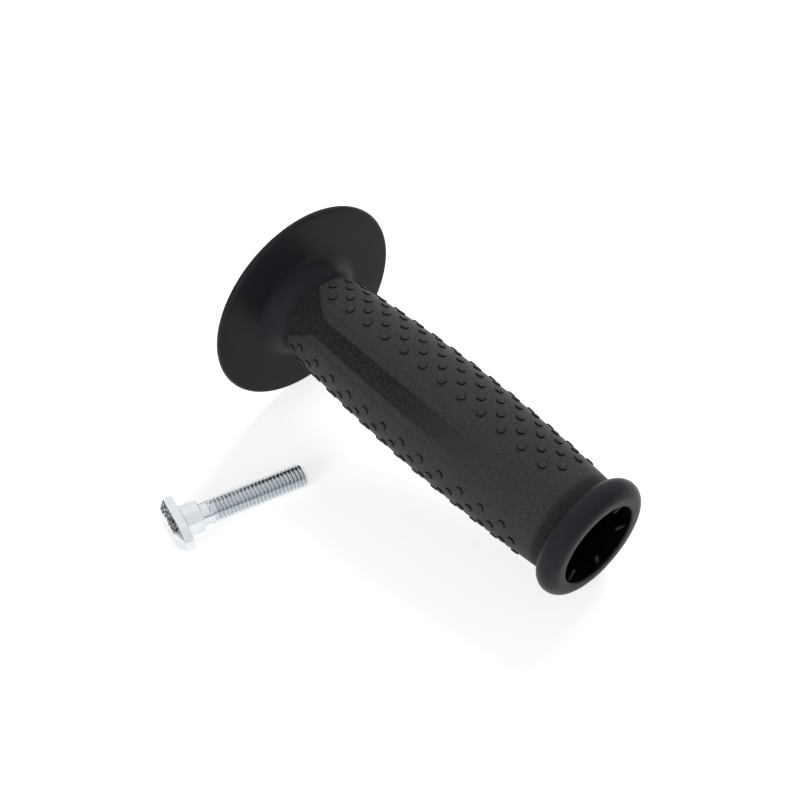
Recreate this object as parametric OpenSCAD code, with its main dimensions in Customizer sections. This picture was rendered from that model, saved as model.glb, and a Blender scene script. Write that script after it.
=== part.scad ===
// Side handle for a power tool, lying beside its clamp bolt.
// The handle is drawn upright along +Z from its flange, then laid down on its rim and end bead.

/* [Grip] */
// Diameter of the grip at its fullest
grip_d = 36; // [33:0.5:40]
// Radius of the crown that runs along the grip
crown_r = 620; // [500:10:1200]
// Height of the fullest point above the flange's front face
crown_at = 72.25; // [66:0.5:78]
// Height at which the raised grip skin starts
skin_at = 11; // [10.5:0.25:12.5]

/* [Flange] */
// Diameter of the hand guard flange
flange_d = 70; // [60:1:84]
// Thickness of the flange, which has a full round rim
flange_t = 2.5; // [2:0.25:3.5]
// Radius of the fillet between flange and neck
neck_fillet = 7; // [4:0.5:7.5]

/* [End bead] */
// Height of the bead's middle above the flange's front face
bead_at = 126.6; // [120:0.5:150]
// Height of the bead over the grip at its fullest
bead_rise = 1.7; // [1:0.1:4]
// Radius of the bead's section
bead_r = 4.05; // [3.8:0.05:5]
// Radius of the groove between grip and bead
groove_r = 3; // [2:0.25:4]

/* [Channels] */
// Half angle of the sunk strip
strip_angle = 11.3; // [8:0.1:14]
// Half angle of the shallow step beside the strip
step_angle = 20.5; // [17:0.5:24]
// Depth of the strip where the skin starts
strip_depth = 0.95; // [0.6:0.05:1.1]
// Depth of the step where the skin starts
step_depth = 0.32; // [0.2:0.02:0.45]
// Depth that is left where a channel ends
end_depth = 0.1; // [0.06:0.01:0.15]
// Height at which the channels end
channel_end = 110; // [95:1:114]
// Half angle of the flared mouth at the start of the skin
flare_angle = 38; // [30:1:44]
// Length of the flared mouth
flare_len = 10; // [7:0.5:14]

/* [Dots] */
// Diameter of a dot where it meets the skin
dot_d = 2.8; // [2:0.1:3.2]
// Height of a dot
dot_h = 0.4; // [0.3:0.05:0.7]
// Spacing of the dots along a row
dot_pitch = 8.2; // [7:0.1:10]
// Angle between two rows
row_angle = 13; // [11:0.5:14]
// Rows on each side of a panel's middle row
side_rows = 4; // [1:1:4]
// Height of the first dot
dot_start = 13.75; // [12.75:0.25:16]
// Height up to which dots are set
dot_end = 113; // [80:1:113.5]

/* [Hollow] */
// Wall between the grip's fullest diameter and the hollow's mouth
mouth_wall = 4.5; // [3.6:0.1:5.5]
// Wall between the grip's fullest diameter and the hollow's floor
floor_wall = 6.4; // [5.8:0.1:7]
// Height of the hollow's floor
floor_at = 4.5; // [3.5:0.25:6]
// Rounding of the mouth's edge
lip_r = 0.5; // [0.3:0.1:0.8]

/* [Ribs] */
// Number of ribs in the hollow
ribs = 6; // [3:1:8]
// Thickness of a rib
rib_t = 1.4; // [1.2:0.1:2.4]
// Height of a rib over the wall at the hollow's floor
rib_h = 1.8; // [1.2:0.1:2.6]
// Depth of a rib's end below the mouth, at the wall
rib_drop = 1.3; // [0.6:0.1:3]
// Further depth of a rib's end at its inner edge
rib_slope = 0.4; // [0.2:0.1:3]

/* [Seat] */
// Diameter of the seat that bears on the tool
seat_d = 30; // [26:1:36]
// Height of the seat in front of the flange
seat_h = 3; // [2:0.5:6]
// Chamfer of the seat's edge
seat_chamfer = 0.6; // [0.3:0.1:1]
// Diameter of the hole for the bolt
bolt_hole_d = 9; // [8.6:0.1:10]

/* [Nut] */
// Width of the nut across its flats
nut_af = 13; // [12:0.5:14]
// Height of the nut
nut_h = 6.5; // [5:0.25:7.5]
// Diameter of the tapped hole
tap_d = 6.8; // [6.4:0.1:7]
// Countersink at each end of the tapped hole
nut_sink = 0.6; // [0.3:0.1:0.9]
// Clearance between a flat of the nut and its pocket
nut_gap = 0.1; // [0.05:0.05:0.3]
// Diameter of the boss around the nut's pocket
boss_d = 19; // [18.6:0.1:19.6]
// Height of the pocket's edge above the nut
pocket_over = 0.5; // [0.2:0.1:1.5]

/* [Bolt] */
// Thread diameter of the bolt
thread_d = 8; // [7:0.5:8]
// Length of the bolt from end to end
bolt_len = 46; // [36:1:60]
// Plain length between neck and thread
plain_len = 2.6; // [2:0.2:5]
// Diameter of that plain length
shank_d = 7.3; // [6.9:0.1:7.8]
// Chamfer at the tip
tip_chamfer = 1.4; // [0.6:0.1:1.6]
// Length of the hammer head
head_len = 20.8; // [17:0.2:24]
// Width of the hammer head
head_w = 10.3; // [9.6:0.1:11.5]
// Thickness of the hammer head
head_t = 4.8; // [4:0.1:6]
// Cut of the head's four corners
head_corner = 3.2; // [2.4:0.1:3.6]
// Thickness of the sloped outer part of the head
slope_t = 2; // [1:0.1:2.5]
// Run of the slope across the head's width
slope_w = 2.5; // [1.5:0.1:2.8]
// Run of the slope along the head's length
slope_l = 3.6; // [2:0.1:4]
// Width of the square neck
neck_w = 9.4; // [9:0.1:9.6]
// Cut of the neck's corners
neck_corner = 2.4; // [1.8:0.1:2.8]
// Length of the square neck
neck_len = 5.8; // [4:0.1:8]

/* [Rest] */
// Turn of a channel's middle from straight up
turn = 44.4; // [0:0.1:90]
// Distance of the bolt's head beside the handle's axis
bolt_aside = 77.1; // [70:0.1:110]
// Distance of the bolt's head along the handle
bolt_along = 24.5; // [0:0.1:80]
// Direction in which the bolt points
bolt_turn = 75.7; // [65:0.1:100]

/* [Hidden] */
$fn = 96;
fn_crown = 1440;
fn_dot = 20;
grip_r = grip_d / 2;
rim_r = flange_t / 2;
flange_r = flange_d / 2;
top = bead_at + bead_r;
bead_cr = grip_r + bead_rise - bead_r;
mouth_r = grip_r - mouth_wall;
floor_r = grip_r - floor_wall;
far = 60;
eps = 0.5;

// The crown and the channel floors are arcs of one radius about shifted centres.
crown_c = [grip_r - crown_r, crown_at];
function fall(d0) = (d0 - end_depth) / (channel_end - skin_at);
function floor_c(d0) = [
    crown_c.x - end_depth - fall(d0) * (channel_end - crown_at) + crown_r * pow(fall(d0), 2) / 2,
    crown_at + crown_r * fall(d0)
];
strip_c = floor_c(strip_depth);
step_c = floor_c(step_depth);
function arc_r(c, z) = c.x + sqrt(pow(crown_r, 2) - pow(z - c.y, 2));
function grip_r_at(z) = arc_r(crown_c, z);

// The neck's fillet touches the flange and the neck's own arc.
fillet_c = [
    strip_c.x + sqrt(pow(crown_r + neck_fillet, 2) - pow(strip_c.y - flange_t - neck_fillet, 2)),
    flange_t + neck_fillet
];
fillet_dir = (strip_c - fillet_c) / norm(strip_c - fillet_c);
fillet_t = fillet_c + neck_fillet * fillet_dir;

// The groove touches the crown and the bead.
bead_c = [bead_cr, bead_at];
span = norm(bead_c - crown_c);
reach = crown_r + groove_r;
reach_bead = bead_r + groove_r;
along = (span * span + reach * reach - reach_bead * reach_bead) / (2 * span);
off = sqrt(reach * reach - along * along);
line = (bead_c - crown_c) / span;
groove_c = crown_c + along * line + off * [-line.y, line.x] * -1;
groove_a = crown_c + crown_r * (groove_c - crown_c) / reach;
groove_b = bead_c + bead_r * (groove_c - bead_c) / reach_bead;

// The handle lies on its rim and its bead.
rim_c = [flange_r - rim_r, rim_r];
dist = bead_at - rim_c.y;
lie = acos((bead_r - rim_r) / norm([rim_c.x - bead_cr, dist])) - atan2(dist, rim_c.x - bead_cr);
axis_h = rim_c.x * cos(lie) + rim_r + rim_c.y * sin(lie);

// The bolt lies on the edge of its head and on its tip.
crest_at = bolt_len - tip_chamfer;
bolt_r = thread_d / 2;
thread_at = head_t + neck_len + plain_len;
dip = atan((head_w / 2 - bolt_r) / (crest_at - head_t));
bolt_h = head_w / 2 * cos(dip) + head_t * sin(dip);

// The origin is on the floor, under the middle of all that lies there.
low_x = min(-seat_h * cos(lie) - (seat_d / 2 - seat_chamfer) * sin(lie),
    rim_c.y * cos(lie) - rim_c.x * sin(lie) - rim_r);
high_x = bead_at * cos(lie) + bead_cr * sin(lie) + bead_r;
face_y = head_len / 2 - slope_l;
face_x = head_w / 2 - slope_w - head_corner / 5;
edge_y = head_len / 2;
edge_x = head_w / 2 - head_corner;
side_c = abs(cos(bolt_turn));
side_s = sin(bolt_turn);
low_y = -bolt_aside - max(
    face_y * side_c + face_x * side_s * sin(dip),
    edge_y * side_c + edge_x * side_s * sin(dip) - slope_t * side_s * cos(dip)
);
origin = [(low_x + high_x) / 2, (low_y + flange_r) / 2];

module arc_disc(c) {
    translate(c) circle(r = crown_r, $fn = fn_crown);
}

// Everything inside one arc between two heights.
module under_arc(c, z0, z1) {
    intersection() {
        translate([0, z0]) square([far, z1 - z0]);
        arc_disc(c);
    }
}

module flange_profile() {
    square([rim_c.x, flange_t]);
    translate(rim_c) circle(r = rim_r);
}

module neck_profile() {
    difference() {
        polygon([[0, 0], [fillet_c.x, 0], [fillet_c.x, flange_t], fillet_c, fillet_t, [0, fillet_t.y]]);
        translate(fillet_c) circle(r = neck_fillet);
    }
    under_arc(strip_c, fillet_t.y, skin_at);
}

module bead_profile() {
    translate([0, groove_b.y]) square([bead_cr, top - groove_b.y]);
    intersection() {
        translate([0, groove_b.y]) square([far, top]);
        translate(bead_c) circle(r = bead_r);
    }
    difference() {
        polygon([[0, groove_a.y], groove_a, groove_c, groove_b, [0, groove_b.y]]);
        translate(groove_c) circle(r = groove_r);
    }
}

module outside_profile() {
    flange_profile();
    neck_profile();
    under_arc(crown_c, skin_at, groove_a.y);
    bead_profile();
}

// A wedge that opens outwards on both sides of +X.
module wedge(half) {
    polygon([[0, 0], far * [cos(half), sin(half)], far * [cos(half), -sin(half)]]);
}

module band(half) {
    translate([0, 0, skin_at]) linear_extrude(channel_end - skin_at) wedge(half);
}

module floor_body(c) {
    rotate_extrude() under_arc(c, skin_at - eps, channel_end + eps);
}

// One channel: a sunk strip, a shallow step on each side and a flared mouth.
module channel() {
    flare_y = grip_r_at(skin_at) * sin(flare_angle);
    strip_y = grip_r_at(skin_at + flare_len) * sin(strip_angle);
    difference() {
        band(step_angle);
        floor_body(step_c);
    }
    difference() {
        union() {
            band(strip_angle);
            translate([0, 0, skin_at]) rotate([90, 0, 90]) linear_extrude(far)
                polygon([[-flare_y, 0], [flare_y, 0], [strip_y, flare_len], [-strip_y, flare_len]]);
        }
        floor_body(strip_c);
    }
}

module dot(z) {
    r = (pow(dot_d / 2, 2) + pow(dot_h, 2)) / (2 * dot_h);
    translate([grip_r_at(z) + dot_h - r, 0, z]) sphere(r = r, $fn = fn_dot);
}

// A panel of staggered rows about one side of the grip.
module dots() {
    for (j = [-side_rows : side_rows]) {
        start = dot_start + (abs(j) % 2 == 0 ? dot_pitch / 2 : 0);
        rotate([0, 0, 90 + j * row_angle])
            for (z = [start : dot_pitch : dot_end]) dot(z);
    }
}

module hollow_profile() {
    polygon([[0, floor_at], [floor_r, floor_at], [mouth_r, top - lip_r], [0, top - lip_r]]);
    difference() {
        translate([0, top - lip_r]) square([mouth_r + lip_r, lip_r + eps]);
        translate([mouth_r + lip_r, top - lip_r]) circle(r = lip_r);
    }
}

module rib() {
    inner = floor_r - rib_h;
    outer = mouth_r + 1;
    z_wall = top - rib_drop;
    rotate([90, 0, 0]) translate([0, 0, -rib_t / 2]) linear_extrude(rib_t)
        polygon([[inner, floor_at - eps], [outer, floor_at - eps], [outer, z_wall], [mouth_r, z_wall],
            [inner, z_wall - rib_slope]]);
}

// The ribs stop inside the wall, whose outside stays as it is.
module rib_set() {
    intersection() {
        for (i = [1 : ribs]) rotate([0, 0, (i - 0.5) * 360 / ribs]) rib();
        rotate_extrude() polygon([[0, 0], [floor_r + 1, 0], [mouth_r + 0.7, top], [0, top]]);
    }
}

module hexagon(af) {
    circle(r = af / 2 / cos(30), $fn = 6);
}

// Upright handle with its front face at zero.
module handle_body() {
    difference() {
        union() {
            difference() {
                rotate_extrude() outside_profile();
                channel();
                rotate([0, 0, 180]) channel();
            }
            dots();
            rotate([0, 0, 180]) dots();
            rotate_extrude() polygon([[0, -seat_h], [seat_d / 2 - seat_chamfer, -seat_h],
                [seat_d / 2, seat_chamfer - seat_h], [seat_d / 2, eps], [0, eps]]);
        }
        difference() {
            rotate_extrude() hollow_profile();
            rib_set();
            cylinder(d = boss_d, h = floor_at + nut_h + pocket_over);
        }
        translate([0, 0, floor_at]) linear_extrude(nut_h + pocket_over + eps) hexagon(nut_af + 2 * nut_gap);
        translate([0, 0, -seat_h - eps]) cylinder(d = bolt_hole_d, h = seat_h + floor_at + 2 * eps);
    }
}

// Sink at one end of the tapped hole.
module nut_sink_cone() {
    rotate_extrude() polygon([[0, -eps], [tap_d / 2 + nut_sink + eps, -eps], [tap_d / 2, nut_sink], [0, nut_sink]]);
}

module nut_body() {
    face_r = nut_af * 0.475;
    corner_r = nut_af / 2 / cos(30) + eps;
    bevel = (corner_r - face_r) * tan(30);
    difference() {
        intersection() {
            linear_extrude(nut_h) hexagon(nut_af);
            rotate_extrude() polygon([[0, 0], [face_r, 0], [corner_r, bevel], [corner_r, nut_h - bevel],
                [face_r, nut_h], [0, nut_h]]);
        }
        translate([0, 0, -eps]) cylinder(d = tap_d, h = nut_h + 2 * eps);
        nut_sink_cone();
        translate([0, 0, nut_h]) mirror([0, 0, 1]) nut_sink_cone();
    }
}

// A bar outline with cut corners, its length along Y.
module cut_bar(len, wid, cut) {
    x = wid / 2;
    y = len / 2;
    polygon([[x, y - cut], [x - cut, y], [cut - x, y], [-x, y - cut],
        [-x, cut - y], [cut - x, -y], [x - cut, -y], [x, cut - y]]);
}

// Upright bolt with the head's outer face at zero.
module bolt_body() {
    thin = 0.01;
    hull() {
        linear_extrude(thin) cut_bar(head_len - 2 * slope_l, head_w - 2 * slope_w, head_corner / 5);
        translate([0, 0, slope_t]) linear_extrude(head_t - slope_t) cut_bar(head_len, head_w, head_corner);
    }
    linear_extrude(head_t + neck_len) cut_bar(neck_w, neck_w, neck_corner);
    rotate_extrude() polygon([[0, head_t], [shank_d / 2, head_t], [shank_d / 2, thread_at],
        [bolt_r, thread_at + (thread_d - shank_d) / 2], [bolt_r, crest_at], [bolt_r - tip_chamfer, bolt_len],
        [0, bolt_len]]);
}

module lay_handle() {
    translate([-origin.x, -origin.y, axis_h]) rotate([0, 90 + lie, 0]) rotate([0, 0, 180 + turn]) children();
}

module lay_bolt() {
    translate([bolt_along - origin.x, -bolt_aside - origin.y, bolt_h]) rotate([0, 0, bolt_turn])
        rotate([0, 90 + dip, 0]) children();
}

module handle() {
    color("#2e2f33") lay_handle() handle_body();
}

module hex_nut() {
    color("#b9bec6") lay_handle() translate([0, 0, floor_at]) nut_body();
}

module t_bolt() {
    color("#cfd6de") lay_bolt() bolt_body();
}

handle();
hex_nut();
t_bolt();
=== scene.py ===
import bpy
from math import acos, asin, atan, atan2, cos, degrees, hypot, pi, radians, sin, sqrt, tan
from mathutils import Matrix, Vector


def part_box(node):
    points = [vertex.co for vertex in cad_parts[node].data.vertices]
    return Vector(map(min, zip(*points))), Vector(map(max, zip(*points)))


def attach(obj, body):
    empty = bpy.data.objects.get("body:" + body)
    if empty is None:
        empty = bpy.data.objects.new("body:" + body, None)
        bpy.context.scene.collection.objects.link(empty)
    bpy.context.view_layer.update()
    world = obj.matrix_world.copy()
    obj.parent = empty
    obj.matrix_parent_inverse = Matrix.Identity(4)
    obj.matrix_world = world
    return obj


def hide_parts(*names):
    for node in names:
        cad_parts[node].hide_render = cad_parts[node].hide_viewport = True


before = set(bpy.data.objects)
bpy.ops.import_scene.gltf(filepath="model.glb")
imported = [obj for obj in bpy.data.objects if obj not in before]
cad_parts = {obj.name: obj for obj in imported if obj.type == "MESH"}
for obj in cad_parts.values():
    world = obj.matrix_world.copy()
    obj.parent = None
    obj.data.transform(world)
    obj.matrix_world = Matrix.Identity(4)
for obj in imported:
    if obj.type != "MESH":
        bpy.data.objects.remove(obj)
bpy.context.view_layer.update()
scene = bpy.context.scene
mm = 0.001
print("frame loaded")

# The handle, drawn upright: radius along X, height above the flange's front face along Z. Millimetres and degrees.
handleSizes = {
    "gripD": 36, "crownR": 620, "crownAt": 72.25, "skinAt": 11,
    "flangeD": 70, "flangeT": 2.5, "neckFillet": 7,
    "beadAt": 126.6, "beadD": 39.4, "beadR": 4.05, "grooveR": 3,
    "stripAngle": 11.3, "stepAngle": 20.5, "stripDepth": 0.95, "stepDepth": 0.32, "endDepth": 0.1,
    "channelEnd": 110, "flareAngle": 38, "flareLen": 10,
    "dotD": 2.8, "dotH": 0.4, "dotPitch": 8.2, "rowAngle": 13, "sideRows": 4, "dotStart": 13.75, "dotEnd": 113,
    "dotSunk": 0.3, "dotSquare": 0.55, "dotSides": 16, "dotRings": 6, "dotCap": 0.75,  # below 1 a dot has steeper sides
    "mouthD": 27, "floorD": 23.2, "floorAt": 4.5, "lipR": 0.5,
    "ribs": 6, "ribT": 1.4, "ribH": 1.8, "ribDrop": 1.3, "ribSlope": 0.4, "ribRound": 0.55,
    "seatD": 30, "seatH": 3, "seatChamfer": 0.6, "boltHoleD": 9,
    "nutAf": 13, "nutH": 6.5, "nutGap": 0.1, "bossD": 19, "pocketOver": 0.5,
    "turn": 44.4,
    "around": 250,  # faces round the grip
    "rowStep": 0.6,  # length of a face along the grip
    "wallSoft": 1.1,  # angle over which a channel's wall rises
    "stepRound": 0.25,  # rounding where the raised skin starts
    "grainAt": 50, "grainLen": 52,  # where the strip's dark grain fades
    "paintedShadeAt": 117.8, "paintedShadeEnd": 124.8, "paintedShadeSoft": 2.6, "paintedShadeStrength": 0.6,  # painted shade on the groove in front of the bead
    "smoothAngle": 55,
}

# The bolt, drawn upright with its head's outer face at zero.
boltSizes = {
    "threadD": 8, "pitch": 1.25, "rootD": 6.47, "crestFlat": 0.1, "flank": 30, "threadDepth": 0.767, "runOut": 2, "len": 46, "plainLen": 2.6, "shankD": 7.3,
    "tipChamfer": 1.4, "headLen": 20.8, "headW": 10.3, "headT": 4.8, "headCorner": 3.2,
    "slopeT": 2, "slopeW": 2.5, "slopeL": 3.6, "neckW": 9.4, "neckCorner": 2.4, "neckLen": 5.8,
    "aside": 77.1, "along": 24.5, "turn": 75.7,
    "edgeRound": 0.3, "tipRound": 0.3, "smoothAngle": 12, "rootShade": 0.3,
    "threadSides": 64, "ringStep": 0.0625,  # faces round the thread and their length
}

# The lens and place of the camera, worked out from the circles of flange and mouth.
cameraSizes = {"lens": 68.53, "azimuth": 51.34, "elevation": 43.16, "roll": 5, "far": 475.45, "at": (-17.83, 22.18, 20)}


def deselectAll():
    if bpy.context.mode != "OBJECT":
        bpy.ops.object.mode_set(mode="OBJECT")
    bpy.ops.object.select_all(action="DESELECT")


def makeActive(piece):
    deselectAll()
    piece.select_set(True)
    bpy.context.view_layer.objects.active = piece


def applyAll(piece):
    makeActive(piece)
    for modifier in list(piece.modifiers):
        bpy.ops.object.modifier_apply(modifier=modifier.name)


def cleanMesh(piece, gap=1e-6):
    makeActive(piece)
    bpy.ops.object.mode_set(mode="EDIT")
    bpy.ops.mesh.select_all(action="SELECT")
    bpy.ops.mesh.remove_doubles(threshold=gap)
    bpy.ops.mesh.normals_make_consistent(inside=False)
    bpy.ops.object.mode_set(mode="OBJECT")


def cutWith(piece, tool, operation):
    cut = piece.modifiers.new(operation.lower(), "BOOLEAN")
    cut.operation = operation
    cut.solver = "EXACT"
    cut.object = tool
    applyAll(piece)
    bpy.data.objects.remove(tool)


# An outline is drawn in edit mode from one vertex, which is extruded along lines and spun along arcs.
def startOutline(name, x, z):
    deselectAll()
    bpy.ops.mesh.primitive_circle_add(vertices=3, radius=mm)
    piece = bpy.context.active_object
    piece.name = name
    bpy.ops.object.mode_set(mode="EDIT")
    bpy.ops.mesh.select_mode(type="VERT")
    bpy.ops.mesh.select_all(action="SELECT")
    bpy.ops.mesh.merge(type="CENTER")
    bpy.ops.transform.translate(value=(x * mm, 0, z * mm))
    pen["x"], pen["z"] = x, z
    return piece


pen = {"x": 0, "z": 0}


def lineTo(x, z):
    step = ((x - pen["x"]) * mm, 0, (z - pen["z"]) * mm)
    bpy.ops.mesh.extrude_region_move(TRANSFORM_OT_translate={"value": step})
    pen["x"], pen["z"] = x, z


def arcTo(centre, x, z, steps):
    startTurn = atan2(pen["x"] - centre[0], pen["z"] - centre[1])
    turn = (atan2(x - centre[0], z - centre[1]) - startTurn + pi) % (2 * pi) - pi
    bpy.ops.mesh.spin(steps=steps, angle=-turn, center=(centre[0] * mm, 0, centre[1] * mm), axis=(0, 1, 0))
    pen["x"], pen["z"] = x, z


def spinOutline(piece, steps):
    bpy.ops.mesh.select_all(action="SELECT")
    bpy.ops.mesh.remove_doubles(threshold=1e-6)
    bpy.ops.mesh.spin(steps=steps, angle=2 * pi, center=(0, 0, 0), axis=(0, 0, 1))
    bpy.ops.object.mode_set(mode="OBJECT")
    cleanMesh(piece)


# Where the two things lie.
h = handleSizes
rimR = h["flangeT"] / 2
rimC = (h["flangeD"] / 2 - rimR, rimR)
beadC = (h["beadD"] / 2 - h["beadR"], h["beadAt"])
restSpan = beadC[1] - rimC[1]
lie = degrees(acos((h["beadR"] - rimR) / hypot(rimC[0] - beadC[0], restSpan)) - atan2(restSpan, rimC[0] - beadC[0]))
axisH = rimC[0] * cos(radians(lie)) + rimR + rimC[1] * sin(radians(lie))
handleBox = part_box("handle")
highX = h["beadAt"] * cos(radians(lie)) + beadC[0] * sin(radians(lie)) + h["beadR"]
originX = highX - handleBox[1].x / mm
originY = h["flangeD"] / 2 - handleBox[1].y / mm
b = boltSizes
crestAt = b["len"] - b["tipChamfer"]
dip = degrees(atan((b["headW"] / 2 - b["threadD"] / 2) / (crestAt - b["headT"])))
boltH = b["headW"] / 2 * cos(radians(dip)) + b["headT"] * sin(radians(dip))


def turned(angle, axis):
    return Matrix.Rotation(radians(angle), 4, axis)


handlePlace = (Matrix.Translation(Vector((-originX, -originY, axisH)) * mm)
               @ turned(90 + lie, "Y") @ turned(180 + h["turn"], "Z"))
boltPlace = (Matrix.Translation(Vector((b["along"] - originX, -b["aside"] - originY, boltH)) * mm)
             @ turned(b["turn"], "Z") @ turned(90 + dip, "Y"))


def layDown(piece, place):
    piece.matrix_world = place
    makeActive(piece)
    bpy.ops.object.transform_apply(location=True, rotation=True, scale=True)


def addCamera():
    c = cameraSizes
    azimuth, elevation = radians(c["azimuth"]), radians(c["elevation"])
    back = Vector((sin(azimuth) * cos(elevation), -cos(azimuth) * cos(elevation), sin(elevation)))
    bpy.ops.object.camera_add(location=(Vector(c["at"]) + back * c["far"]) * mm)
    camera = bpy.context.active_object
    camera.name = "photoCamera"
    camera.rotation_mode = "QUATERNION"
    camera.rotation_quaternion = (-back).to_track_quat("-Z", "Y") @ turned(-c["roll"], "Z").to_quaternion()
    camera.data.lens = c["lens"]
    camera.data.sensor_width = 36
    camera.data.clip_start = 0.01
    camera.data.clip_end = 10
    scene.camera = camera


addCamera()
print("camera set")


# Shader helpers.
def newMaterial(name):
    material = bpy.data.materials.new(name)
    material.use_nodes = True
    nodes = material.node_tree.nodes
    return material, nodes, material.node_tree.links, nodes["Principled BSDF"]


def objectNoise(nodes, links, scale, detail=2, roughness=0.5):
    place = nodes.new("ShaderNodeTexCoord")
    noise = nodes.new("ShaderNodeTexNoise")
    noise.inputs["Scale"].default_value = scale
    noise.inputs["Detail"].default_value = detail
    noise.inputs["Roughness"].default_value = roughness
    links.new(place.outputs["Object"], noise.inputs["Vector"])
    return noise.outputs["Fac"]


def ramp(nodes, links, value, low, high, outLow, outHigh):
    node = nodes.new("ShaderNodeMapRange")
    node.inputs["From Min"].default_value = low
    node.inputs["From Max"].default_value = high
    node.inputs["To Min"].default_value = outLow
    node.inputs["To Max"].default_value = outHigh
    links.new(value, node.inputs["Value"])
    return node.outputs["Result"]


def mathNode(nodes, links, operation, first, second):
    node = nodes.new("ShaderNodeMath")
    node.operation = operation
    for socket, value in zip(node.inputs, (first, second)):
        if isinstance(value, (int, float)):
            socket.default_value = value
        else:
            links.new(value, socket)
    return node.outputs["Value"]


def mixColour(nodes, links, factor, first, second):
    node = nodes.new("ShaderNodeMix")
    node.data_type = "RGBA"
    links.new(factor, node.inputs["Factor"])
    for socket, colour in ((node.inputs["A"], first), (node.inputs["B"], second)):
        if isinstance(colour, tuple):
            socket.default_value = (*colour, 1)
        else:
            links.new(colour, socket)
    return node.outputs["Result"]


def attributeOf(nodes, name):
    node = nodes.new("ShaderNodeAttribute")
    node.attribute_name = name
    return node.outputs["Fac"]


def bumpOf(nodes, links, height, distance, strength, before=None):
    node = nodes.new("ShaderNodeBump")
    node.inputs["Distance"].default_value = distance
    node.inputs["Strength"].default_value = strength
    links.new(height, node.inputs["Height"])
    if before is not None:
        links.new(before, node.inputs["Normal"])
    return node.outputs["Normal"]


# Black moulded plastic: smooth collar and bead, spark-textured skin, coarse sunk strip, and painted shade on the dots'
# sides and in the groove in front of the bead; the hollow gets painted shade of its own.
plasticLook = {
    "smooth": (0.0225, 0.0233, 0.028), "skinLow": (0.028, 0.0284, 0.0304), "skinHigh": (0.062, 0.0628, 0.0668),
    "stripLow": (0.006, 0.0063, 0.006), "stripHigh": (0.04, 0.0413, 0.0388), "paintedShade": (0.004, 0.0041, 0.0044),
    "smoothRough": 0.36, "skinRough": 0.5, "stripRough": 0.65, "roughSpread": 0.03, "specular": 0.07,
    "cloudScale": 90, "satinScale": 2200, "skinScale": 2600, "stripScale": 1900,
    "satinRise": 0.25, "skinRise": 0.8, "stripRise": 2.4, "bumpDepth": 0.00005, "bumpStrength": 0.7,
}


def handlePlastic():
    look = plasticLook
    material, nodes, links, shader = newMaterial("handlePlastic")
    shader.inputs["Specular IOR Level"].default_value = look["specular"]
    skin, strip = attributeOf(nodes, "skin"), attributeOf(nodes, "strip")
    cloud = objectNoise(nodes, links, look["cloudScale"], 3)
    satin = objectNoise(nodes, links, look["satinScale"], 2, 0.5)
    grain = objectNoise(nodes, links, look["skinScale"], 2, 0.6)
    coarse = objectNoise(nodes, links, look["stripScale"], 3, 0.65)
    speckle = mixColour(nodes, links, ramp(nodes, links, coarse, 0.35, 0.65, 0, 1), look["stripLow"], look["stripHigh"])
    grained = mixColour(nodes, links, ramp(nodes, links, grain, 0.35, 0.65, 0, 1), look["skinLow"], look["skinHigh"])
    colour = mixColour(nodes, links, skin, look["smooth"], grained)
    colour = mixColour(nodes, links, strip, colour, speckle)
    # Painted shade: the dots' sides and the groove in front of the bead are darkened towards a near-black colour.
    colour = mixColour(nodes, links, attributeOf(nodes, "paintedShade"), colour, look["paintedShade"])
    links.new(colour, shader.inputs["Base Color"])
    rough = ramp(nodes, links, cloud, 0.3, 0.7, look["smoothRough"] - look["roughSpread"], look["smoothRough"] + look["roughSpread"])
    for place, more in ((skin, "skinRough"), (strip, "stripRough")):
        before = look["skinRough"] if more == "stripRough" else look["smoothRough"]
        rough = mathNode(nodes, links, "ADD", rough, mathNode(nodes, links, "MULTIPLY", place, look[more] - before))
    links.new(rough, shader.inputs["Roughness"])
    height = mathNode(nodes, links, "MULTIPLY", satin, look["satinRise"])
    for place, pattern, rise in ((skin, grain, "skinRise"), (strip, coarse, "stripRise")):
        share = mathNode(nodes, links, "MULTIPLY", mathNode(nodes, links, "MULTIPLY", place, pattern), look[rise])
        height = mathNode(nodes, links, "ADD", height, share)
    links.new(bumpOf(nodes, links, height, look["bumpDepth"], look["bumpStrength"]), shader.inputs["Normal"])
    return material


# The same plastic inside the hollow, painted much darker and with less sheen as shade, since hardly any light comes
# back out.
hollowShadeLook = {"low": (0.0006, 0.0006, 0.0007), "high": (0.0014, 0.0014, 0.0016), "rough": 0.75, "specular": 0.04, "scale": 700}


def hollowPaintedShade():
    look = hollowShadeLook
    material, nodes, links, shader = newMaterial("hollowPaintedShade")
    shader.inputs["Specular IOR Level"].default_value = look["specular"]
    shader.inputs["Roughness"].default_value = look["rough"]
    satin = objectNoise(nodes, links, look["scale"], 2)
    links.new(mixColour(nodes, links, satin, look["low"], look["high"]), shader.inputs["Base Color"])
    return material


# Bright zinc plate on the bolt and the nut, with painted shade in the thread's roots and a painted dark reflection on
# the head's slopes.
zincLook = {
    "bolt": (0.79, 0.84, 0.87), "nut": (0.66, 0.69, 0.73), "shade": 0.92, "cloudScale": 260, "fineScale": 1500,
    "roughLow": 0.16, "roughHigh": 0.3, "bumpDepth": 0.00003, "bumpStrength": 0.5,
    "root": (0.2, 0.22, 0.24), "slopePaintedReflection": (0.05, 0.053, 0.065), "forgedHigh": (0.85, 0.87, 0.9),
}


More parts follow.
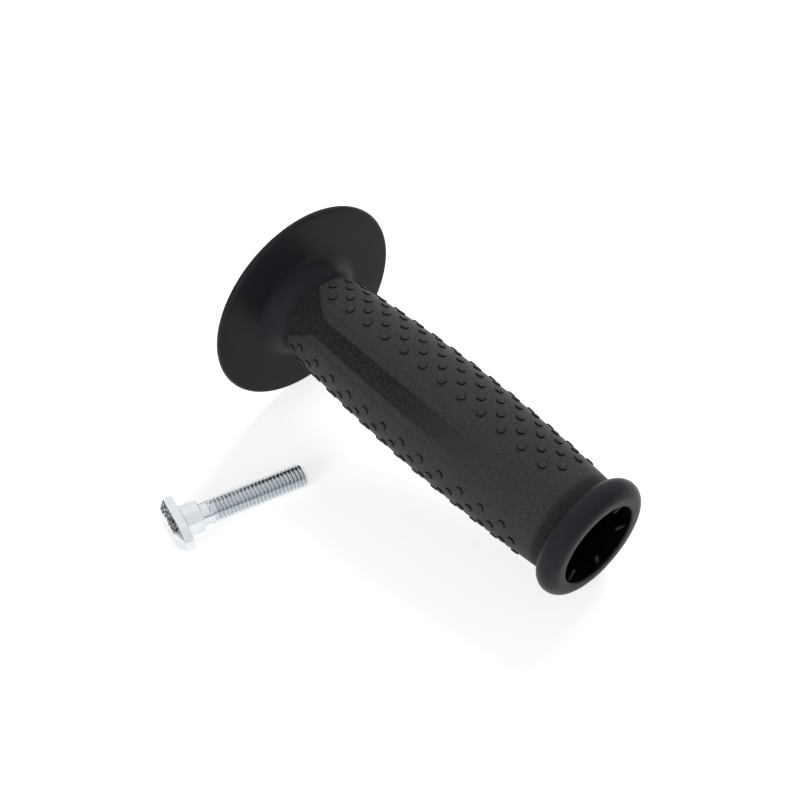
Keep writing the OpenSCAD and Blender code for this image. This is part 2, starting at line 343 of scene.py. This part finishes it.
def zincPlate(name, tint):
    look = zincLook
    material, nodes, links, shader = newMaterial(name)
    shader.inputs["Metallic"].default_value = 1
    cloud = objectNoise(nodes, links, look["cloudScale"], 3)
    fine = objectNoise(nodes, links, look["fineScale"], 3, 0.6)
    colour = mixColour(nodes, links, cloud, tuple(look["shade"] * c for c in tint), tint)
    # Painted shade: the thread's roots are darkened towards a grey.
    colour = mixColour(nodes, links, attributeOf(nodes, "root"), colour, look["root"])
    # The head's slopes get a forged grain speckle, which is mostly dark as a painted dark reflection.
    speckle = mixColour(nodes, links, ramp(nodes, links, fine, 0.45, 0.62, 0, 1), look["slopePaintedReflection"], look["forgedHigh"])
    links.new(mixColour(nodes, links, attributeOf(nodes, "forgedGrainAndPaintedReflection"), colour, speckle), shader.inputs["Base Color"])
    links.new(ramp(nodes, links, fine, 0.3, 0.7, look["roughLow"], look["roughHigh"]), shader.inputs["Roughness"])
    links.new(bumpOf(nodes, links, fine, look["bumpDepth"], look["bumpStrength"]), shader.inputs["Normal"])
    return material


def giveMaterial(piece, material):
    piece.data.materials.clear()
    piece.data.materials.append(material)


# Sizes that follow from the handle's own.
def arcX(centre, z):
    return centre[0] + sqrt(h["crownR"] ** 2 - (z - centre[1]) ** 2)


crownC = (h["gripD"] / 2 - h["crownR"], h["crownAt"])
stripFall = (h["stripDepth"] - h["endDepth"]) / (h["channelEnd"] - h["skinAt"])
stripC = (crownC[0] - h["endDepth"] - stripFall * (h["channelEnd"] - h["crownAt"]) + h["crownR"] * stripFall ** 2 / 2,
          h["crownAt"] + h["crownR"] * stripFall)


def gripR(z):
    return arcX(crownC, z)


def towards(a, b, share):
    return (a[0] + (b[0] - a[0]) * share, a[1] + (b[1] - a[1]) * share)


def gap(a, b):
    return hypot(b[0] - a[0], b[1] - a[1])


def drawHandle():
    top = h["beadAt"] + h["beadR"]
    filletC = (stripC[0] + sqrt((h["crownR"] + h["neckFillet"]) ** 2 - (stripC[1] - h["flangeT"] - h["neckFillet"]) ** 2),
               h["flangeT"] + h["neckFillet"])
    filletEnd = towards(filletC, stripC, h["neckFillet"] / gap(filletC, stripC))
    reach, reachBead, span = h["crownR"] + h["grooveR"], h["beadR"] + h["grooveR"], gap(crownC, beadC)
    along = (span ** 2 + reach ** 2 - reachBead ** 2) / (2 * span)
    off = sqrt(reach ** 2 - along ** 2)
    line = ((beadC[0] - crownC[0]) / span, (beadC[1] - crownC[1]) / span)
    grooveC = (crownC[0] + along * line[0] + off * line[1], crownC[1] + along * line[1] - off * line[0])
    grooveA = towards(crownC, grooveC, h["crownR"] / reach)
    grooveB = towards(beadC, grooveC, h["beadR"] / reachBead)
    mouthR, floorR, holeR, seatR = h["mouthD"] / 2, h["floorD"] / 2, h["boltHoleD"] / 2, h["seatD"] / 2
    pocketTop = h["floorAt"] + h["nutH"] + h["pocketOver"]
    rounding = h["stepRound"]
    skinR = gripR(h["skinAt"])
    piece = startOutline("sideHandle", holeR, -h["seatH"])
    lineTo(seatR - h["seatChamfer"], -h["seatH"])
    lineTo(seatR, h["seatChamfer"] - h["seatH"])
    lineTo(seatR, 0)
    lineTo(rimC[0], 0)
    arcTo(rimC, rimC[0] + rimR, rimR, 6)
    arcTo(rimC, rimC[0], h["flangeT"], 6)
    lineTo((rimC[0] + filletC[0]) / 2, h["flangeT"])
    lineTo(filletC[0], h["flangeT"])
    arcTo(filletC, *filletEnd, 16)
    arcTo(stripC, arcX(stripC, h["skinAt"]), h["skinAt"], 1)
    lineTo(skinR - rounding, h["skinAt"])
    arcTo((skinR - rounding, h["skinAt"] + rounding), skinR, h["skinAt"] + rounding, 3)
    rows = round((grooveA[1] - h["skinAt"] - rounding) / h["rowStep"])
    arcTo(crownC, *grooveA, rows)
    arcTo(grooveC, *grooveB, 10)
    arcTo(beadC, beadC[0] + h["beadR"], beadC[1], 10)
    arcTo(beadC, beadC[0], top, 12)
    lineTo(mouthR + h["lipR"], top)
    arcTo((mouthR + h["lipR"], top - h["lipR"]), mouthR, top - h["lipR"], 4)
    for share in (0.75, 0.5, 0.25, 0):
        lineTo(floorR + (mouthR - floorR) * share, h["floorAt"] + (top - h["lipR"] - h["floorAt"]) * share)
    lineTo(h["bossD"] / 2, h["floorAt"])
    lineTo(h["bossD"] / 2, pocketTop)
    lineTo(holeR, pocketTop)
    lineTo(holeR, -h["seatH"])
    spinOutline(piece, h["around"])
    return piece


def softStep(x):
    x = min(max(x, 0), 1)
    return x * x * (3 - 2 * x)


# Depth below the skin at a height and an angle from a channel's middle.
def channelDrop(z, angle):
    along = (z - h["skinAt"]) / (h["channelEnd"] - h["skinAt"])
    fade = 1 - softStep(z - h["channelEnd"])
    strip = (h["stripDepth"] + (h["endDepth"] - h["stripDepth"]) * along) * fade
    step = (h["stepDepth"] + (h["endDepth"] - h["stepDepth"]) * along) * fade
    flareShare = max(0, 1 - (z - h["skinAt"]) / h["flareLen"])
    flareY = gripR(h["skinAt"]) * sin(radians(h["flareAngle"]))
    stripY = gripR(h["skinAt"] + h["flareLen"]) * sin(radians(h["stripAngle"]))
    flare = degrees(asin((stripY + (flareY - stripY) * flareShare) / gripR(z))) if flareShare else 0
    inStrip = 1 - softStep((angle - max(h["stripAngle"], flare)) / h["wallSoft"] + 0.5)
    inStep = 1 - softStep((angle - h["stepAngle"]) / h["wallSoft"] + 0.5)
    return max(strip * inStrip, step * inStep), inStrip * fade


# The dots are closed caps with steep sides, sunk into the skin and joined to it; their sides carry painted shade.
def addDots(piece):
    dot = startOutline("dot", 0, -h["dotSunk"])
    lineTo(h["dotD"] / 2, -h["dotSunk"])
    for ring in range(h["dotRings"] + 1):
        turn = pi / 2 * ring / h["dotRings"]
        lineTo(h["dotD"] / 2 * abs(cos(turn)) ** h["dotSquare"], h["dotH"] * sin(turn) ** h["dotSquare"])
    spinOutline(dot, h["dotSides"])
    # Vertices below the cap are marked for painted shade on the dots' sides.
    for name, inside, outside in (("skin", 1, 1), ("strip", 0, 0), ("paintedShade", 0, 1)):
        shares = [inside if v.co.z / mm > h["dotH"] * h["dotCap"] else outside for v in dot.data.vertices]
        dot.data.attributes.new(name, "FLOAT", "POINT").data.foreach_set("value", shares)
    dots = [dot]
    for panel in (90, 270):
        for row in range(-h["sideRows"], h["sideRows"] + 1):
            z = h["dotStart"] + (h["dotPitch"] / 2 if row % 2 == 0 else 0)
            while z <= h["dotEnd"]:
                makeActive(dot)
                bpy.ops.object.duplicate(linked=True)
                copy = bpy.context.active_object
                lean = degrees(asin((z - h["crownAt"]) / h["crownR"]))
                copy.matrix_world = (turned(panel + row * h["rowAngle"], "Z")
                                     @ Matrix.Translation(Vector((gripR(z), 0, z)) * mm) @ turned(90 - lean, "Y"))
                dots.append(copy)
                z += h["dotPitch"]
    bpy.data.objects.remove(dots.pop(0))
    makeActive(piece)
    for dot in dots:
        dot.select_set(True)
    bpy.ops.object.join()


# The skin's vertices move in and out for channels and dots, and are marked for the material, including painted shade on
# the band in front of the bead.
def reliefOf(piece):
    mesh = piece.data
    skin = mesh.attributes.new("skin", "FLOAT", "POINT")
    strip = mesh.attributes.new("strip", "FLOAT", "POINT")
    paintedShade = mesh.attributes.new("paintedShade", "FLOAT", "POINT")
    low = h["skinAt"] - 0.001
    for v in mesh.vertices:
        z, r = v.co.z / mm, hypot(v.co.x, v.co.y) / mm
        # Painted shade on the band in front of the bead, faded softly at both ends.
        if r > h["seatD"] / 2:
            paintedShade.data[v.index].value = h["paintedShadeStrength"] * softStep((z - h["paintedShadeAt"]) / h["paintedShadeSoft"]) * softStep((h["paintedShadeEnd"] - z) / h["paintedShadeSoft"])
        if z < low or z > h["beadAt"] - h["beadR"] or r < gripR(min(z, h["dotEnd"])) - 1.2 - (z > h["dotEnd"]) * 3:
            continue
        psi = degrees(atan2(v.co.y, v.co.x))
        fromChannel = min(abs(psi), 180 - abs(psi))
        drop, inStrip = channelDrop(z, fromChannel)
        newR = min(r, gripR(z) - drop)
        v.co.x *= newR / r
        v.co.y *= newR / r
        skin.data[v.index].value = 1
        strip.data[v.index].value = inStrip * (1 - softStep((z - h["grainAt"]) / h["grainLen"]))
    mesh.update()


def addRib(index):
    top = h["beadAt"] + h["beadR"] - h["ribDrop"]
    inner, outer = h["floorD"] / 2 - h["ribH"], h["mouthD"] / 2 + 0.5
    low = h["floorAt"] - 0.5
    deselectAll()
    bpy.ops.mesh.primitive_cube_add(size=1)
    rib = bpy.context.active_object
    for v in rib.data.vertices:
        isOuter, isTop = v.co.x > 0, v.co.z > 0
        taper = 0 if isTop else (h["mouthD"] - h["floorD"]) / 2
        v.co = Vector(((outer - taper if isOuter else inner), v.co.y * h["ribT"],
                       (top if isOuter else top - h["ribSlope"]) if isTop else low)) * mm
    bevel = rib.modifiers.new("round", "BEVEL")
    bevel.width = h["ribRound"] * mm
    bevel.segments = 3
    applyAll(rib)
    rib.matrix_world = turned((index + 0.5) * 360 / h["ribs"], "Z")
    makeActive(rib)
    bpy.ops.object.transform_apply(location=False, rotation=True, scale=False)
    return rib


def addPrism(sides, radius, low, high, turn=0):
    deselectAll()
    bpy.ops.mesh.primitive_cylinder_add(vertices=sides, radius=radius * mm, depth=(high - low) * mm,
                                        location=(0, 0, (low + high) / 2 * mm), rotation=(0, 0, turn))
    piece = bpy.context.active_object
    bpy.ops.object.transform_apply(location=True, rotation=True, scale=True)
    return piece


def makeHandle():
    piece = drawHandle()
    pocketR = (h["nutAf"] / 2 + h["nutGap"]) / cos(radians(30))
    pocketTop = h["floorAt"] + h["nutH"] + h["pocketOver"]
    cutWith(piece, addPrism(6, pocketR, h["floorAt"], pocketTop + 1, radians(30)), "DIFFERENCE")
    for index in range(h["ribs"]):
        cutWith(piece, addRib(index), "UNION")
    reliefOf(piece)
    addDots(piece)
    layDown(piece, handlePlace)
    makeActive(piece)
    bpy.ops.object.shade_smooth_by_angle(angle=radians(h["smoothAngle"]))
    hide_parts("handle")
    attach(piece, "root")
    return piece


# Faces of the hollow, apart from the ribs' ends, take the second material, which paints the hollow's shade.
def darkenHollow(piece):
    piece.data.materials.append(hollowPaintedShade())
    upright = handlePlace.inverted()
    upTurn = upright.to_3x3()
    low, lip = h["floorAt"] - 0.1, h["beadAt"] + h["beadR"] - h["lipR"]
    for face in piece.data.polygons:
        at, normal = upright @ face.center, upTurn @ face.normal
        isEnd = normal.z > 0.2 and at.z / mm > h["floorAt"] + h["ribDrop"] * 10
        if low < at.z / mm < lip and hypot(at.x, at.y) / mm < h["mouthD"] / 2 + 0.05 and not isEnd:
            face.material_index = 1


sideHandle = makeHandle()
giveMaterial(sideHandle, handlePlastic())
darkenHollow(sideHandle)
print("handle made", len(sideHandle.data.polygons), "faces")


# Radius of the thread's surface at a height and an angle, right-handed.
def threadR(z, angle):
    turn = (z / b["pitch"] - angle / (2 * pi)) % 1
    fromCrest = abs(turn - 0.5) * b["pitch"] - b["crestFlat"]
    depth = min(max(fromCrest, 0) / tan(radians(b["flank"])), b["threadDepth"])
    return b["threadD"] / 2 - depth


# A closed rod under an outline, with rings close enough for the thread that is pressed into it above one height.
def threadedRod(name, outline, threadLow):
    rod = startOutline(name, 0, outline[0][1])
    for (r, z) in outline:
        rings = max(1, round((z - pen["z"]) / b["ringStep"])) if z > threadLow and r > 0 else 1
        fromR, fromZ = pen["x"], pen["z"]
        for ring in range(1, rings + 1):
            lineTo(fromR + (r - fromR) * ring / rings, fromZ + (z - fromZ) * ring / rings)
    spinOutline(rod, b["threadSides"])
    for v in rod.data.vertices:
        r = hypot(v.co.x, v.co.y) / mm
        if r > b["rootD"] / 4 and v.co.z / mm > threadLow:
            share = min(1, (v.co.z / mm - threadLow) / b["runOut"])
            thread = b["threadD"] / 2 - (b["threadD"] / 2 - threadR(v.co.z / mm, atan2(v.co.y, v.co.x))) * share
            if thread < r:
                v.co.x *= thread / r
                v.co.y *= thread / r
    return rod


# The thread's roots are marked for painted shade, and the head's two long forged slopes for a grain speckle darkened as
# a painted dark reflection.
def markBolt(bolt, threadLow):
    root = bolt.data.attributes.new("root", "FLOAT", "POINT")
    for v in bolt.data.vertices:
        if v.co.z / mm > threadLow:
            depth = (b["threadD"] / 2 - hypot(v.co.x, v.co.y) / mm) / b["threadDepth"]
            root.data[v.index].value = b["rootShade"] * softStep(depth)
    forgedGrainAndPaintedReflection = bolt.data.attributes.new("forgedGrainAndPaintedReflection", "FLOAT", "FACE")
    for face in bolt.data.polygons:
        isSlope = 0.5 < abs(face.normal.x) < 0.75 and face.normal.z < -0.6 and abs(face.normal.y) < 0.1
        forgedGrainAndPaintedReflection.data[face.index].value = 1 if isSlope else 0


def makeBolt():
    neckTop = b["headT"] + b["neckLen"]
    threadAt = neckTop + b["plainLen"]
    threadR0, shankR = b["threadD"] / 2, b["shankD"] / 2
    tipR = threadR0 - b["tipChamfer"]
    round0 = b["tipRound"]
    outline = ((shankR, neckTop - 0.5), (shankR, threadAt), (threadR0, threadAt + threadR0 - shankR), (threadR0, crestAt),
               (tipR, b["len"] - round0 / 3), (tipR - round0, b["len"]), (0, b["len"]))
    rod = threadedRod("tBolt", outline, threadAt)
    head = addHead()
    cutWith(head, addNeck(), "UNION")
    cutWith(rod, head, "UNION")
    cleanMesh(rod)
    markBolt(rod, threadAt + b["runOut"])
    layDown(rod, boltPlace)
    makeActive(rod)
    bpy.ops.object.shade_smooth_by_angle(angle=radians(b["smoothAngle"]))
    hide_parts("t_bolt")
    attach(rod, "root")
    return rod


def roundEdges(piece, width):
    bevel = piece.modifiers.new("round", "BEVEL")
    bevel.width = width * mm
    bevel.segments = 3
    bevel.limit_method = "ANGLE"
    bevel.angle_limit = radians(15)
    applyAll(piece)


# A bar along Y whose four upright edges are cut.
def addBar(length, width, cut, low, high):
    deselectAll()
    bpy.ops.mesh.primitive_cube_add(size=1, location=(0, 0, (low + high) / 2 * mm), scale=(width * mm, length * mm, (high - low) * mm))
    bar = bpy.context.active_object
    bpy.ops.object.transform_apply(location=True, rotation=True, scale=True)
    bpy.ops.object.mode_set(mode="EDIT")
    bpy.ops.mesh.select_mode(type="EDGE")
    bpy.ops.mesh.select_all(action="DESELECT")
    bpy.ops.object.mode_set(mode="OBJECT")
    for edge in bar.data.edges:
        ends = [bar.data.vertices[i].co for i in edge.vertices]
        edge.select = abs(ends[0].z - ends[1].z) > mm
    bpy.ops.object.mode_set(mode="EDIT")
    bpy.ops.mesh.select_mode(type="EDGE")
    bpy.ops.mesh.bevel(offset=cut * mm, segments=1, affect="EDGES")
    bpy.ops.object.mode_set(mode="OBJECT")
    return bar


def addHead():
    halfW, halfL = b["headW"] / 2, b["headLen"] / 2
    smallCut = b["headCorner"] / 5
    head = addBar(b["headLen"], b["headW"], b["headCorner"], b["slopeT"], b["headT"])
    makeActive(head)
    bpy.ops.object.mode_set(mode="EDIT")
    bpy.ops.mesh.select_mode(type="FACE")
    bpy.ops.mesh.select_all(action="DESELECT")
    bpy.ops.object.mode_set(mode="OBJECT")
    for face in head.data.polygons:
        face.select = face.normal.z < -0.9
    bpy.ops.object.mode_set(mode="EDIT")
    bpy.ops.mesh.extrude_region_move(TRANSFORM_OT_translate={"value": (0, 0, -b["slopeT"] * mm)})
    bpy.ops.object.mode_set(mode="OBJECT")
    for v in head.data.vertices:
        if v.co.z < 0.5 * mm:
            atSide = abs(v.co.x) > (halfW - 0.1) * mm
            x = halfW - b["slopeW"] - (0 if atSide else smallCut)
            y = halfL - b["slopeL"] - (smallCut if atSide else 0)
            v.co.x, v.co.y = (x if v.co.x > 0 else -x) * mm, (y if v.co.y > 0 else -y) * mm
    roundEdges(head, b["edgeRound"])
    return head


def addNeck():
    neck = addBar(b["neckW"], b["neckW"], b["neckCorner"], b["headT"] - 0.5, b["headT"] + b["neckLen"])
    roundEdges(neck, b["edgeRound"])
    return neck


tBolt = makeBolt()
giveMaterial(tBolt, zincPlate("boltZinc", zincLook["bolt"]))
print("bolt made", len(tBolt.data.polygons), "faces")


# The captive nut with its thread, chamfered at both faces.
def makeNut():
    base = h["floorAt"]
    faceR, cornerR = h["nutAf"] * 0.475, h["nutAf"] / 2 / cos(radians(30)) + 0.5
    bevel = (cornerR - faceR) * tan(radians(30))
    nut = addPrism(6, h["nutAf"] / 2 / cos(radians(30)), base, base + h["nutH"], radians(30))
    nut.name = "captiveNut"
    cone = startOutline("nutCone", 0, base - 0.001)
    lineTo(faceR, base - 0.001)
    lineTo(cornerR, base + bevel)
    lineTo(cornerR, base + h["nutH"] - bevel)
    lineTo(faceR, base + h["nutH"] + 0.001)
    lineTo(0, base + h["nutH"] + 0.001)
    spinOutline(cone, 96)
    cutWith(nut, cone, "INTERSECT")
    r, low, high = b["threadD"] / 2, base - 1, base + h["nutH"] + 1
    cutWith(nut, threadedRod("nutThread", ((r, low), (r, high), (0, high)), low - b["runOut"]), "DIFFERENCE")
    cleanMesh(nut)
    layDown(nut, handlePlace)
    makeActive(nut)
    bpy.ops.object.shade_smooth_by_angle(angle=radians(30))
    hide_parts("hex_nut")
    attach(nut, "root")
    return nut


captiveNut = makeNut()
giveMaterial(captiveNut, zincPlate("nutZinc", zincLook["nut"]))
print("nut made", len(captiveNut.data.polygons), "faces")


# A white floor and a white sky, whose low edge is darker where the metal mirrors it.
studio = {
    "floorSize": 6, "floorShade": 0.6, "floorGlow": 0.72, "floorLit": 0.8, "sky": 0.25,
    "edgeLow": 0.1, "edgeHigh": 0.34, "edgeShade": 0.08,
    "darkAt": (0.6, 0, 0.75), "darkInner": 0.82, "darkOuter": 0.6, "darkShade": 0.9,
}


def mixShaders(nodes, links, factor, first, second):
    mix = nodes.new("ShaderNodeMixShader")
    links.new(factor, mix.inputs["Fac"])
    links.new(first.outputs[0], mix.inputs[1])
    links.new(second.outputs[0], mix.inputs[2])
    return mix


def addFloor():
    deselectAll()
    bpy.ops.mesh.primitive_plane_add(size=studio["floorSize"], location=(0, 0, 0))
    floor = bpy.context.active_object
    floor.name = "studioFloor"
    material, nodes, links, shader = newMaterial("paleFloor")
    nodes.remove(shader)
    seen, lit = nodes.new("ShaderNodeBsdfDiffuse"), nodes.new("ShaderNodeBsdfDiffuse")
    for node, shade in ((seen, "floorShade"), (lit, "floorLit")):
        node.inputs["Color"].default_value = (studio[shade], studio[shade], studio[shade], 1)
    glow = nodes.new("ShaderNodeEmission")
    glow.inputs["Strength"].default_value = studio["floorGlow"]
    both = nodes.new("ShaderNodeAddShader")
    links.new(seen.outputs[0], both.inputs[0])
    links.new(glow.outputs[0], both.inputs[1])
    path = nodes.new("ShaderNodeLightPath")
    shows = mathNode(nodes, links, "MAXIMUM", path.outputs["Is Camera Ray"], path.outputs["Is Glossy Ray"])
    shows = mathNode(nodes, links, "MAXIMUM", shows, path.outputs["Is Transmission Ray"])
    links.new(mixShaders(nodes, links, shows, lit, both).outputs[0], nodes["Material Output"].inputs["Surface"])
    giveMaterial(floor, material)


def addSky():
    world = bpy.data.worlds.new("studioSky")
    scene.world = world
    world.use_nodes = True
    nodes, links = world.node_tree.nodes, world.node_tree.links
    nodes.clear()
    seen, lit, mirrored = (nodes.new("ShaderNodeBackground") for _ in range(3))
    seen.inputs["Strength"].default_value = 1
    lit.inputs["Strength"].default_value = studio["sky"]
    for node in (seen, lit, mirrored):
        node.inputs["Color"].default_value = (1, 1, 1, 1)
    height = nodes.new("ShaderNodeSeparateXYZ")
    direction = nodes.new("ShaderNodeTexCoord").outputs["Generated"]
    links.new(direction, height.inputs["Vector"])
    strength = ramp(nodes, links, height.outputs["Z"], studio["edgeLow"], studio["edgeHigh"], studio["edgeShade"], 1)
    toDark = nodes.new("ShaderNodeVectorMath")
    toDark.operation = "DOT_PRODUCT"
    links.new(direction, toDark.inputs[0])
    toDark.inputs[1].default_value = Vector(studio["darkAt"]).normalized()
    dark = ramp(nodes, links, toDark.outputs["Value"], studio["darkOuter"], studio["darkInner"], 1, studio["darkShade"])
    links.new(mathNode(nodes, links, "MULTIPLY", strength, dark), mirrored.inputs["Strength"])
    path = nodes.new("ShaderNodeLightPath")
    glossy = mathNode(nodes, links, "MAXIMUM", path.outputs["Is Glossy Ray"], path.outputs["Is Transmission Ray"])
    rest = mixShaders(nodes, links, glossy, lit, mirrored)
    whole = mixShaders(nodes, links, path.outputs["Is Camera Ray"], rest, seen)
    links.new(whole.outputs[0], nodes.new("ShaderNodeOutputWorld").inputs["Surface"])


# The lamps light the diffuse part, and the sky gives the reflections.
lamps = [
    {"name": "backLamp", "from": (-0.35, 0.95, 0.75), "at": (0, 0, 0.03), "size": 0.7, "power": 14, "glossy": False},
    {"name": "leftLamp", "from": (0.28, -0.98, 0.38), "at": (0, 0, 0.03), "size": 0.6, "power": 6.5, "glossy": False},
]


def addLamps():
    for lamp in lamps:
        deselectAll()
        bpy.ops.object.light_add(type="AREA", location=lamp["from"])
        light = bpy.context.active_object
        light.name = lamp["name"]
        light.data.size = lamp["size"]
        light.data.energy = lamp["power"]
        light.visible_glossy = lamp["glossy"]
        light.rotation_mode = "QUATERNION"
        light.rotation_quaternion = (Vector(lamp["at"]) - Vector(lamp["from"])).to_track_quat("-Z", "Y")


addFloor()
addSky()
addLamps()
scene.view_settings.view_transform = "Standard"
print("studio set")
